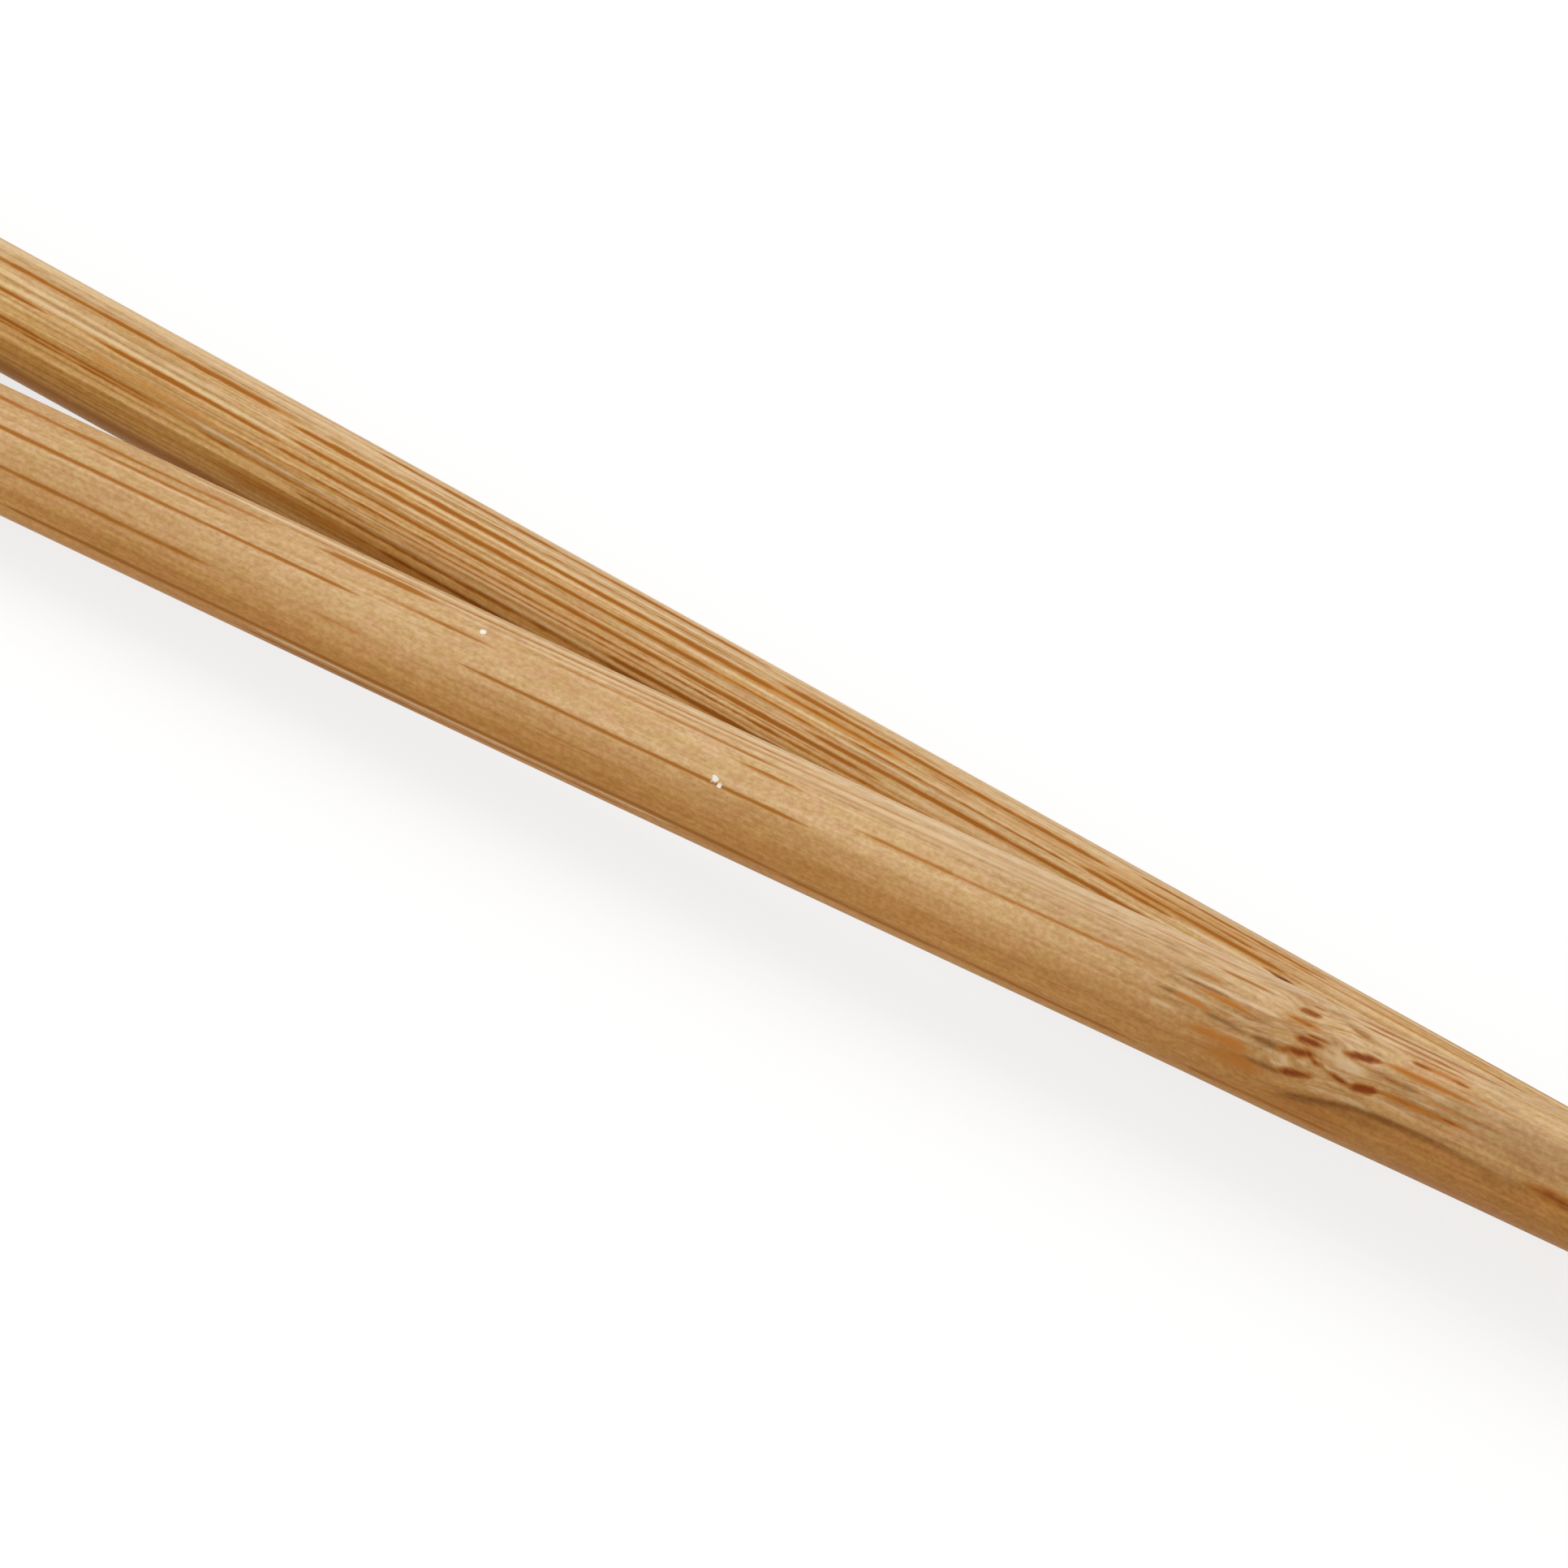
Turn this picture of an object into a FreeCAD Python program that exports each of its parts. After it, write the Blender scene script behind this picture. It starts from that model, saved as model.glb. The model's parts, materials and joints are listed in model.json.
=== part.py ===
import FreeCAD, Part
import os
import Sketcher

# A pair of round bamboo chopsticks, at rest on a flat surface. Each stick is turned from one piece:
# a butt end with a softened edge, a plain round handle, and a slender taper to a rounded tip. One
# stick lies flat. The other starts beside it, butt end on the surface, and leans over it, so the
# two touch flank to flank just short of where their tapers start and cross further on.
#
# The origin is under the middle of the pair, on the surface. +X runs from the butts to the tips,
# midway between the sticks, and +Z is up.

OUT_FOLDER = "parts"
ON_RIM = 0.001  # mm, how closely an edge must lie at a rim's place to be that rim

# How a sketch's constraints name a line's two ends, and the sketch's own origin.
START = 1
END = 2
ROOT_POINT = -1

# Driving sizes: alias, value and what it measures. Lengths are in mm and angles in degrees.
SIZES = [
    ("handle_diameter", 6.0, "round handle, the same from the butt to the taper"),
    ("handle_length", 150.0, "butt end to the start of the taper"),
    ("taper_length", 90.0, "start of the taper to the end of the tip"),
    ("tip_diameter", 4.0, "end of the taper, before its edge is rounded"),
    ("butt_rounding", 0.4, "radius of the softened edge round the butt"),
    ("tip_rounding", 1.2, "radius of the edge round the tip"),
    ("touch_setback", 11.5, "the sticks touch this far short of their tapers"),
    ("touch_tilt", 33.7, "the touch is this far round the lying stick, from its top"),
    ("touch_gap", 0.05, "clearance left between the two round flanks at the touch"),
]

# What follows from them: alias, formula and what it measures.
DERIVED = [
    ("handle_radius", "handle_diameter / 2", "radius of a handle"),
    ("tip_radius", "tip_diameter / 2", "radius at the end of the taper"),
    ("stick_length", "handle_length + taper_length", "butt end to the end of the tip"),
    ("axis_spacing", "handle_diameter + touch_gap", "between the two axes where the sticks touch"),
    ("touch_distance", "handle_length - touch_setback", "butt end to the touch"),
    ("lean", "asin(axis_spacing * cos(touch_tilt) / touch_distance)", "rise of the leaning stick"),
    ("crossing_angle", "asin(tan(lean) / tan(touch_tilt))", "between the sticks, seen from above"),
    ("half_angle", "crossing_angle / 2", "from each stick to the X axis"),
    (
        "crossing_distance",
        "touch_distance * cos(lean) + axis_spacing * sin(touch_tilt) / sin(crossing_angle)",
        "butt end to where the axes cross, seen from above",
    ),
    ("butt_x", "-stick_length * cos(half_angle) / 2", "butt centres along X"),
    ("butt_y", "crossing_distance * sin(half_angle)", "butt centres either side of the X axis"),
]


def make_sheet(doc):
    """The driving sizes as plain numbers, and below them the values worked out from them."""
    sheet = doc.addObject("Spreadsheet::Sheet", "Sizes")
    rows = [(alias, str(value), note) for alias, value, note in SIZES]
    rows += [(alias, "=" + formula, note) for alias, formula, note in DERIVED]
    for row, (alias, content, note) in enumerate(rows, start=1):
        sheet.set(f"A{row}", alias)
        sheet.set(f"B{row}", content)
        sheet.set(f"C{row}", note)
        sheet.setAlias(f"B{row}", alias)
    doc.recompute()
    return sheet


def origin_plane(body, role):
    return next(part for part in body.Origin.OriginFeatures if part.Role == role)


def add_profile(body, sheet):
    """Half of a stick's lengthwise section: butt face, handle, taper, tip face, and the axis."""
    sketch = body.newObject("Sketcher::SketchObject", body.Name + "_profile")
    sketch.AttachmentSupport = [(origin_plane(body, "XY_Plane"), "")]
    sketch.MapMode = "FlatFace"
    corners = [
        FreeCAD.Vector(0, 0, 0),
        FreeCAD.Vector(0, sheet.handle_radius, 0),
        FreeCAD.Vector(sheet.handle_length, sheet.handle_radius, 0),
        FreeCAD.Vector(sheet.stick_length, sheet.tip_radius, 0),
        FreeCAD.Vector(sheet.stick_length, 0, 0),
    ]
    outline = [
        sketch.addGeometry(Part.LineSegment(start, end), False)
        for start, end in zip(corners, corners[1:] + corners[:1])
    ]
    butt, handle, taper, tip, axis = outline
    for line, following in zip(outline, outline[1:] + outline[:1]):
        sketch.addConstraint(Sketcher.Constraint("Coincident", line, END, following, START))
    sketch.addConstraint(Sketcher.Constraint("Coincident", butt, START, ROOT_POINT, START))
    sketch.addConstraint(Sketcher.Constraint("Vertical", butt))
    sketch.addConstraint(Sketcher.Constraint("Horizontal", handle))
    sketch.addConstraint(Sketcher.Constraint("Vertical", tip))
    sketch.addConstraint(Sketcher.Constraint("Horizontal", axis))
    # The tip's line runs down to the axis, so it is measured from its lower end.
    for kind, line, first, second, alias in [
        ("DistanceY", butt, START, END, "handle_radius"),
        ("DistanceX", handle, START, END, "handle_length"),
        ("DistanceX", taper, START, END, "taper_length"),
        ("DistanceY", tip, END, START, "tip_radius"),
    ]:
        size = sheet.get(alias)
        index = sketch.addConstraint(Sketcher.Constraint(kind, line, first, line, second, size))
        sketch.renameConstraint(index, alias)
        sketch.setExpression(f"Constraints.{alias}", f"Sizes.{alias}")
    return sketch


def turn_profile(body, sketch):
    turned = body.newObject("PartDesign::Revolution", body.Name + "_turned")
    turned.Profile = sketch
    turned.ReferenceAxis = (sketch, ["H_Axis"])
    turned.Angle = 360.0
    return turned


def rim_at(shape, x):
    """Name of the circular edge that lies at x along the stick, in the stick's own frame."""
    for number, edge in enumerate(shape.Edges, start=1):
        if isinstance(edge.Curve, Part.Circle) and abs(edge.Curve.Center.x - x) < ON_RIM:
            return f"Edge{number}"
    raise RuntimeError(f"no rim at x = {x}")


def round_rim(body, base, name, x, alias):
    rounded = body.newObject("PartDesign::Fillet", f"{body.Name}_{name}")
    rounded.Base = (base, [rim_at(base.Shape, x)])
    rounded.setExpression("Radius", f"Sizes.{alias}")
    body.Document.recompute()
    return rounded


def make_chopstick(doc, sheet, label, yaw, pitch, base_y):
    """One stick along its own +X, then laid in place by its butt's centre and two angles."""
    body = doc.addObject("PartDesign::Body", label)
    body.Label = label
    turned = turn_profile(body, add_profile(body, sheet))
    doc.recompute()
    butt_rounded = round_rim(body, turned, "butt", 0.0, "butt_rounding")
    body.Tip = round_rim(body, butt_rounded, "tip", sheet.stick_length, "tip_rounding")
    place = f"vector(Sizes.butt_x; {base_y}; Sizes.handle_radius)"
    body.setExpression("Placement", f"placement({place}; rotation({yaw}; {pitch}; 0))")
    return body


def check(doc, bodies):
    """Stops with the name of anything in the document that failed to build."""
    for part in doc.Objects:
        if "Invalid" in part.State or "Error" in part.State:
            raise RuntimeError(f"{part.Name} failed: {part.State}")
    for body in bodies:
        shape = body.Shape
        if shape.isNull() or not shape.isValid() or len(shape.Solids) != 1:
            raise RuntimeError(f"{body.Label} is not one valid solid")


def main():
    doc = FreeCAD.newDocument("chopsticks")
    sheet = make_sheet(doc)
    half_angle, butt_y = "Sizes.half_angle", "Sizes.butt_y"
    bodies = [
        make_chopstick(doc, sheet, "upper_chopstick", half_angle, "-Sizes.lean", f"-{butt_y}"),
        make_chopstick(doc, sheet, "lower_chopstick", f"-{half_angle}", "0", butt_y),
    ]
    doc.recompute()
    check(doc, bodies)
    os.makedirs(OUT_FOLDER, exist_ok=True)
    for body in bodies:
        body.Shape.exportStep(os.path.join(OUT_FOLDER, body.Label + ".step"))


main()
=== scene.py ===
import json
import math

import bpy
import numpy as np
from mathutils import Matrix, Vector


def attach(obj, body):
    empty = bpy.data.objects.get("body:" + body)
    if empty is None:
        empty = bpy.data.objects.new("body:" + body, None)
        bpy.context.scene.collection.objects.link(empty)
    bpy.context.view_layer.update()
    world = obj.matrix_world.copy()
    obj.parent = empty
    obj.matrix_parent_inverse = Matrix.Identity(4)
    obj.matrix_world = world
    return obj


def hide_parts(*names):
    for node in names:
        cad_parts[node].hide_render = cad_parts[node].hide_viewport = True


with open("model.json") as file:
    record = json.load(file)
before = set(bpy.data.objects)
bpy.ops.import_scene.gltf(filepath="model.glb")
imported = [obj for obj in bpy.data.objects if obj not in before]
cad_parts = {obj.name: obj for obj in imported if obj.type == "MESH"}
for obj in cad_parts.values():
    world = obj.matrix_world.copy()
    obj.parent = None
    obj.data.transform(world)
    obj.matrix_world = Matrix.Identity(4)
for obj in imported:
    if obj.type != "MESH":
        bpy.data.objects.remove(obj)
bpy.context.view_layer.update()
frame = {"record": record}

# A pair of round bamboo chopsticks. Each is one fine mesh in its own frame: along the stick from
# the butt in mm, and an angle round it from straight up, growing towards the camera's side. What
# the surface shows is built in that frame: strands of dark fibre run through the whole stick and
# come out where its round surface cuts them, and the photographed face has its own marks, laid
# where the photograph shows them.

MM = 0.001
UP = Vector((0.0, 0.0, 1.0))

# Profile of a stick, in mm.
HANDLE_RADIUS = 3.0
TIP_RADIUS = 2.0
HANDLE_LENGTH = 150.0
STICK_LENGTH = 240.0
BUTT_ROUNDING = 0.4
TIP_ROUNDING = 1.2

# Mesh density: points round a ring, and steps from ring to ring, in mm.
AROUND = 320
ROW_STEP = 1.05
NODE_ROW_STEP = 0.4  # close to the bamboo's node
END_RING_STEP = 0.2  # on the flat of an end
LAST_ROW_GAP = 0.3 * ROW_STEP  # the least before the tip's rounding
BUTT_ROUNDING_STEPS = 6
TIP_ROUNDING_STEPS = 12
TURN_SAMPLES = 4000  # that a ring's angles are read from
ON_END = 1e-6  # how closely a point of an end's flat lies at that end

# The camera: where it looks, in mm, and from where.
TARGET = Vector((-32.6, 0.87, 3.0))
AZIMUTH = 34.48  # degrees, from straight in front towards the tips
ELEVATION = 50.0
DISTANCE = 700.0  # mm
PIXELS_PER_MM = 24.99  # in the photograph, at the target
IMAGE_WIDTH = 1932  # pixels
SENSOR_WIDTH = 36.0
CLIPPING = (0.01, 20.0)  # m

# The photographed face of each stick: its middle, round the stick from straight up, and how far a
# point that stands 1 mm proud of the axis looks shifted along the stick, because the photograph
# looks at it from the tips' side.
UPPER_FACE = math.radians(35.7)
LOWER_FACE = math.radians(34.2)
SLANT = 0.41
FACE_CROWDING = 0.35  # how much closer the mesh's points lie on that face than on average

# Where the bow of the sticks has run out, and how far each bows sideways, in mm.
BOW_END = 140.0
UPPER_BOW = 0.2
LOWER_BOW = -0.1

# Depth of the relief, in mm.
FIBRE_DEPTH = 0.010
PALE_HEIGHT = 0.004
FLECK_DEPTH = 0.020
NODE_SWELL = 0.05
UNEVENNESS = 0.018
RELIEF_RADII = (0.6, 1.6)  # mm, the relief fades out towards the middle of an end between these

# The upper stick's node, in mm from the butt, and how far it reaches along the stick.
NODE = 120.8
NODE_REACH = 4.5
FINE_ROWS_REACH = 2.6 * NODE_REACH
SWIRL_REACH = 1.8 * NODE_REACH

# What shows on the photographed faces: dark fibres, darker flecks at the node, soft amber stain,
# which on the lower stick's rim in the groove is painted shade, olive shade and pale streaks, with
# painted highlight among them along the upper stick's rim. Each has its start and end along the
# stick, its place across the face at the start and at the end, negative towards the top of the
# photograph, its half width, all in mm, and its strength.
UPPER_FIBRES = [
    (13.0, 60.0, -2.34, -2.4, 0.11, 0.8), (47.0, 57.4, -1.98, -1.96, 0.1, 0.75),
    (3.0, 65.2, -0.94, -1.05, 0.105, 0.9), (21.0, 57.4, 0.78, 0.78, 0.11, 0.85),
    (61.0, 69.6, -2.36, -2.4, 0.12, 1.0), (64.0, 73.2, -1.56, -1.52, 0.11, 0.75),
    (70.4, 92.2, -0.13, -0.07, 0.1, 0.95), (74.4, 90.0, -2.12, -2.08, 0.09, 0.6),
    (85.8, 91.2, -1.56, -1.52, 0.11, 0.8), (75.0, 83.5, 1.16, 1.2, 0.08, 0.55),
    (93.2, 111.5, -0.95, -1.03, 0.095, 0.66), (58.0, 92.0, -2.66, -2.64, 0.055, 0.55),
    (79.0, 98.0, -2.42, -2.44, 0.07, 0.48), (88.0, 110.5, -2.08, -2.12, 0.08, 0.24),
    (98.0, 108.0, -2.56, -2.6, 0.06, 0.3), (62.0, 66.8, 0.66, 0.66, 0.09, 0.4),
    (97.0, 107.0, 0.86, 0.82, 0.07, 0.3), (44.0, 92.0, 2.42, 2.54, 0.095, 0.95),
    (58.0, 84.0, 2.84, 2.84, 0.055, 0.7), (90.0, 112.5, 2.62, 2.66, 0.1, 0.75),
    (113.5, 124.5, 2.7, 2.62, 0.095, 0.8), (125.0, 137.0, 2.76, 2.74, 0.08, 0.5),
    (112.2, 117.6, -1.02, -0.8, 0.1, 0.55), (113.5, 117.6, -2.28, -2.22, 0.07, 0.6),
    (109.0, 116.5, -2.72, -2.66, 0.06, 0.55), (117.0, 123.6, 2.2, 1.95, 0.12, 0.5),
    (118.5, 125.0, 2.52, 2.36, 0.08, 0.45), (123.3, 127.2, -0.08, -0.16, 0.17, 0.85),
    (125.4, 129.8, -0.17, -0.22, 0.13, 0.62), (123.3, 129.8, -1.46, -1.48, 0.12, 0.75),
    (125.6, 130.6, -0.74, -0.72, 0.07, 0.4), (125.0, 130.6, 0.3, 0.26, 0.06, 0.45),
    (120.6, 130.6, -2.88, -2.8, 0.07, 0.72), (120.8, 128.6, -2.66, -2.58, 0.075, 0.8),
    (122.4, 129.2, -2.38, -2.34, 0.07, 0.6), (124.0, 132.4, -1.82, -1.78, 0.055, 0.4),
]
UPPER_FLECKS = [
    (117.9, 120.7, 0.08, -0.42, 0.31, 0.95), (118.6, 120.8, -0.78, -0.92, 0.23, 0.95),
    (119.0, 121.0, -1.12, -1.2, 0.09, 0.65), (118.4, 121.0, 1.08, 0.48, 0.29, 0.95),
    (120.0, 121.0, -0.04, -0.08, 0.19, 0.75), (118.2, 120.1, -2.1, -2.14, 0.16, 0.8),
    (118.7, 120.3, -2.5, -2.56, 0.08, 0.5), (118.0, 119.9, -1.56, -1.6, 0.13, 0.65),
    (121.2, 123.8, -1.08, -1.44, 0.24, 1.0), (122.0, 124.2, 0.3, -0.12, 0.25, 1.0),
    (120.9, 122.8, 0.04, 0.3, 0.15, 0.85), (120.9, 123.0, -2.42, -2.06, 0.12, 0.55),
    (123.4, 129.4, -0.1, -0.22, 0.14, 0.66), (124.6, 126.2, -2.1, -2.1, 0.11, 0.6),
    (126.9, 128.3, -2.1, -2.08, 0.09, 0.55), (123.6, 125.4, -0.84, -0.8, 0.08, 0.6),
    (131.8, 137.0, 0.92, 1.1, 0.3, 0.8),
]
UPPER_AMBER = [
    (113.0, 117.7, 0.82, 0.78, 0.33, 1.0), (111.9, 115.0, -0.32, -0.18, 0.23, 1.0),
    (113.2, 116.8, -1.0, -0.94, 0.19, 0.9), (112.4, 114.8, -1.68, -1.66, 0.15, 0.75),
    (113.5, 119.4, 1.52, 1.34, 0.42, 0.72), (117.6, 120.4, -1.58, -1.6, 0.18, 0.8),
    (123.2, 128.0, -1.5, -1.44, 0.21, 0.9), (124.4, 128.9, -2.12, -2.1, 0.17, 0.7),
    (123.2, 129.4, -0.08, -0.22, 0.24, 0.48), (119.6, 124.4, 2.08, 1.96, 0.26, 0.6),
    (118.0, 122.0, 2.45, 2.4, 0.18, 0.45), (93.2, 101.0, -0.95, -0.97, 0.18, 0.5),
    (105.5, 111.5, -1.02, -1.02, 0.15, 0.4), (73.0, 84.5, -1.46, -1.4, 0.28, 0.35),
    (61.5, 67.0, 0.66, 0.66, 0.26, 0.4), (46.0, 57.0, 0.8, 0.8, 0.22, 0.35),
    (104.0, 112.0, 0.9, 0.86, 0.3, 0.35), (131.6, 137.0, 0.9, 1.15, 0.42, 0.6),
]
UPPER_SHADE = [
    (116.6, 118.9, 0.07, 0.05, 0.23, 1.25), (115.8, 119.2, 1.24, 1.02, 0.15, 0.95),
    (113.5, 117.0, -0.08, 0.1, 0.13, 1.0), (111.2, 113.4, -0.3, -0.3, 0.13, 0.9),
    (112.0, 115.6, -1.16, -1.14, 0.1, 0.95), (110.5, 112.5, -2.18, -2.16, 0.12, 0.6),
    (114.0, 118.0, -2.26, -2.2, 0.075, 0.6), (110.6, 115.0, -1.6, -1.62, 0.11, 0.5),
    (115.5, 117.8, -0.84, -0.74, 0.095, 0.65), (120.9, 122.6, 0.02, 0.28, 0.18, 0.9),
    (123.0, 126.4, -0.86, -0.8, 0.15, 0.95), (125.6, 131.6, -0.72, -0.72, 0.15, 0.8),
    (123.2, 129.0, -0.1, -0.2, 0.23, 0.75), (119.0, 121.2, -1.12, -1.2, 0.11, 0.6),
    (120.6, 123.2, -2.5, -2.1, 0.15, 0.6), (121.5, 125.5, 1.5, 1.46, 0.26, 0.42),
    (129.0, 134.0, 1.32, 1.22, 0.34, 0.5), (126.0, 140.0, -1.0, -0.7, 0.9, 0.34),
    (60.0, 72.0, 2.92, 2.92, 0.08, 0.6), (119.4, 121.8, 1.8, 1.52, 0.11, 0.85),
    (114.8, 117.6, -0.72, -0.66, 0.08, 0.6), (117.4, 119.4, 1.16, 1.02, 0.1, 0.8),
    (119.6, 123.8, 2.28, 2.16, 0.09, 0.45), (112.4, 115.6, 0.48, 0.52, 0.08, 0.45),
    (121.0, 124.0, -1.66, -1.72, 0.08, 0.4), (118.6, 120.6, -1.76, -1.8, 0.07, 0.5),
    (86.0, 112.0, -2.1, -2.16, 0.085, 0.36), (92.0, 110.0, -2.6, -2.66, 0.06, 0.36),
    (97.0, 116.0, -1.72, -1.78, 0.12, 0.34), (101.0, 114.0, -1.4, -1.36, 0.11, 0.28),
    (99.0, 113.0, -2.36, -2.36, 0.07, 0.34), (90.0, 100.0, -1.9, -1.86, 0.08, 0.24),
    (130.2, 134.6, -0.05, 0.22, 0.3, 0.44), (128.6, 133.0, -1.8, -1.7, 0.16, 0.26),
]
# Pale streaks. The broad rows along the upper rim beyond the node paint highlight, not pale wood.
UPPER_PALE_AND_HIGHLIGHTS = [
    (47.5, 57.5, -1.82, -1.8, 0.07, 0.55), (47.5, 57.5, -2.14, -2.14, 0.06, 0.45),
    (44.0, 64.0, -0.82, -0.86, 0.06, 0.4), (52.0, 104.0, -2.82, -2.84, 0.08, 0.85),
    (62.0, 92.0, -2.54, -2.54, 0.055, 0.75), (68.0, 92.0, -2.28, -2.28, 0.065, 0.7),
    (74.0, 90.0, -1.94, -1.94, 0.06, 0.5), (92.5, 97.5, -2.66, -2.64, 0.15, 0.8),
    (58.0, 86.0, 2.63, 2.66, 0.06, 0.7), (70.0, 90.0, 0.06, 0.08, 0.06, 0.35),
    (111.0, 119.0, -1.36, -1.26, 0.16, 0.78), (111.0, 118.0, -0.6, -0.45, 0.15, 0.66),
    (115.5, 118.6, -1.92, -1.88, 0.22, 0.6), (114.5, 118.0, 0.36, 0.42, 0.15, 0.5),
    (118.0, 119.4, 0.78, 0.66, 0.11, 0.75), (119.2, 120.6, 0.2, 0.14, 0.13, 0.55),
    (118.4, 121.4, -1.34, -1.38, 0.07, 0.6), (120.3, 123.5, -0.68, -0.56, 0.4, 0.64),
    (120.4, 121.6, -1.0, -0.96, 0.26, 0.6), (119.6, 123.6, -1.86, -1.74, 0.16, 0.6),
    (122.8, 127.5, 0.42, 0.14, 0.11, 0.55), (122.6, 129.5, -1.1, -1.12, 0.12, 0.55),
    (123.5, 129.5, -0.46, -0.46, 0.09, 0.5), (128.0, 142.0, -2.3, -2.2, 0.6, 0.5),
    (105.0, 118.5, -2.46, -2.4, 0.14, 0.55), (119.5, 131.5, -2.66, -2.46, 0.46, 0.6),
    (124.0, 133.0, -1.16, -1.1, 0.3, 0.36),
]
LOWER_FIBRES = [
    (5.0, 54.6, -2.03, -2.13, 0.14, 0.85), (12.0, 40.0, -0.72, -0.76, 0.12, 0.85),
    (41.6, 55.4, -0.78, -0.84, 0.13, 0.92), (1.5, 49.0, 0.48, 0.54, 0.11, 0.8),
    (17.0, 48.4, 0.69, 0.72, 0.09, 0.65), (48.6, 62.4, 0.72, 0.68, 0.1, 0.66),
    (50.0, 57.0, 0.06, 0.05, 0.1, 0.65), (58.0, 84.0, -2.72, -2.74, 0.09, 0.8),
    (53.0, 85.5, -1.84, -1.92, 0.13, 0.95), (83.0, 92.4, -1.94, -1.92, 0.12, 0.75),
    (53.5, 82.0, -1.16, -1.28, 0.12, 0.9), (80.0, 89.0, -1.28, -1.24, 0.08, 0.75),
    (85.5, 109.0, -0.94, -1.04, 0.135, 0.95), (52.5, 92.0, -0.46, -0.52, 0.13, 0.84),
    (54.0, 98.0, 0.06, -0.1, 0.11, 0.66), (55.0, 84.0, 1.03, 1.02, 0.14, 0.68),
    (60.0, 73.0, 1.56, 1.54, 0.12, 0.8), (50.0, 63.0, 1.62, 1.58, 0.11, 0.45),
    (74.0, 90.5, 0.62, 0.52, 0.14, 1.0), (61.0, 78.0, 0.6, 0.6, 0.09, 0.42),
    (60.0, 84.0, 0.34, 0.26, 0.055, 0.55), (58.0, 90.0, -0.22, -0.3, 0.05, 0.55),
    (62.0, 88.0, -0.84, -0.76, 0.05, 0.5), (56.0, 80.0, -1.5, -1.56, 0.06, 0.5),
    (60.0, 84.0, -2.3, -2.32, 0.06, 0.6), (84.0, 95.0, -2.6, -2.6, 0.07, 0.6),
    (83.0, 105.0, -2.34, -2.32, 0.13, 0.88), (105.0, 114.0, -2.3, -2.3, 0.09, 0.75),
    (87.5, 103.5, -1.55, -1.54, 0.075, 0.75), (101.5, 109.0, -1.72, -1.64, 0.12, 0.85),
    (103.0, 116.0, -1.98, -1.98, 0.12, 0.85), (92.0, 97.0, -2.02, -2.0, 0.09, 0.55),
    (104.5, 118.0, -2.66, -2.68, 0.08, 0.75), (108.0, 131.0, -2.5, -2.58, 0.07, 0.6),
    (112.0, 128.0, -2.8, -2.82, 0.055, 0.5),
]
LOWER_FLECKS = [
    (113.6, 115.6, -1.72, -1.62, 0.13, 0.95), (61.5, 71.5, 1.6, 1.58, 0.08, 0.5),
]
LOWER_AMBER_AND_GROOVE_SHADE = [
    (40.0, 56.0, -2.12, -2.12, 0.22, 0.5), (41.0, 52.0, 0.04, 0.04, 0.22, 0.5),
    (51.0, 67.0, 1.8, 1.58, 0.5, 0.5), (58.0, 74.0, 1.28, 1.26, 0.25, 0.35),
    (60.0, 80.0, 0.3, 0.26, 0.18, 0.45), (80.0, 93.0, -1.93, -1.93, 0.19, 0.9),
    (78.0, 89.0, -1.26, -1.26, 0.13, 0.7), (82.0, 97.0, -0.06, -0.1, 0.17, 0.7),
    (83.0, 91.0, -2.36, -2.36, 0.12, 0.6), (103.0, 116.0, -1.98, -1.98, 0.19, 0.6),
    (96.0, 107.0, -2.0, -2.0, 0.12, 0.45), (102.0, 118.0, -2.4, -2.44, 0.3, 0.4),
    # Painted shade: the row below darkens the rim that lies in the groove against the upper stick.
    (20.0, 56.0, 2.66, 2.62, 0.26, 0.8),
]
LOWER_SHADE = [
    (36.0, 52.0, -1.3, -1.3, 0.07, 0.45), (64.0, 84.0, 0.62, 0.5, 0.12, 0.25),
    (87.0, 104.0, -1.5, -1.48, 0.13, 0.4), (54.0, 66.0, 0.88, 0.84, 0.06, 0.4),
    (37.0, 57.0, -1.24, -1.22, 0.055, 0.5), (36.0, 50.0, -1.66, -1.64, 0.05, 0.38),
    (38.0, 56.0, -0.42, -0.44, 0.05, 0.38), (40.0, 56.0, 0.26, 0.24, 0.05, 0.4),
    (48.5, 58.0, 0.52, 0.54, 0.05, 0.5), (37.0, 52.0, 0.98, 1.0, 0.06, 0.42),
    (42.0, 60.0, 1.34, 1.34, 0.07, 0.4), (36.0, 56.0, -2.38, -2.42, 0.05, 0.38),
    (60.0, 84.0, -2.2, -2.22, 0.045, 0.38), (62.0, 86.0, -1.04, -1.08, 0.045, 0.38),
]
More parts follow.
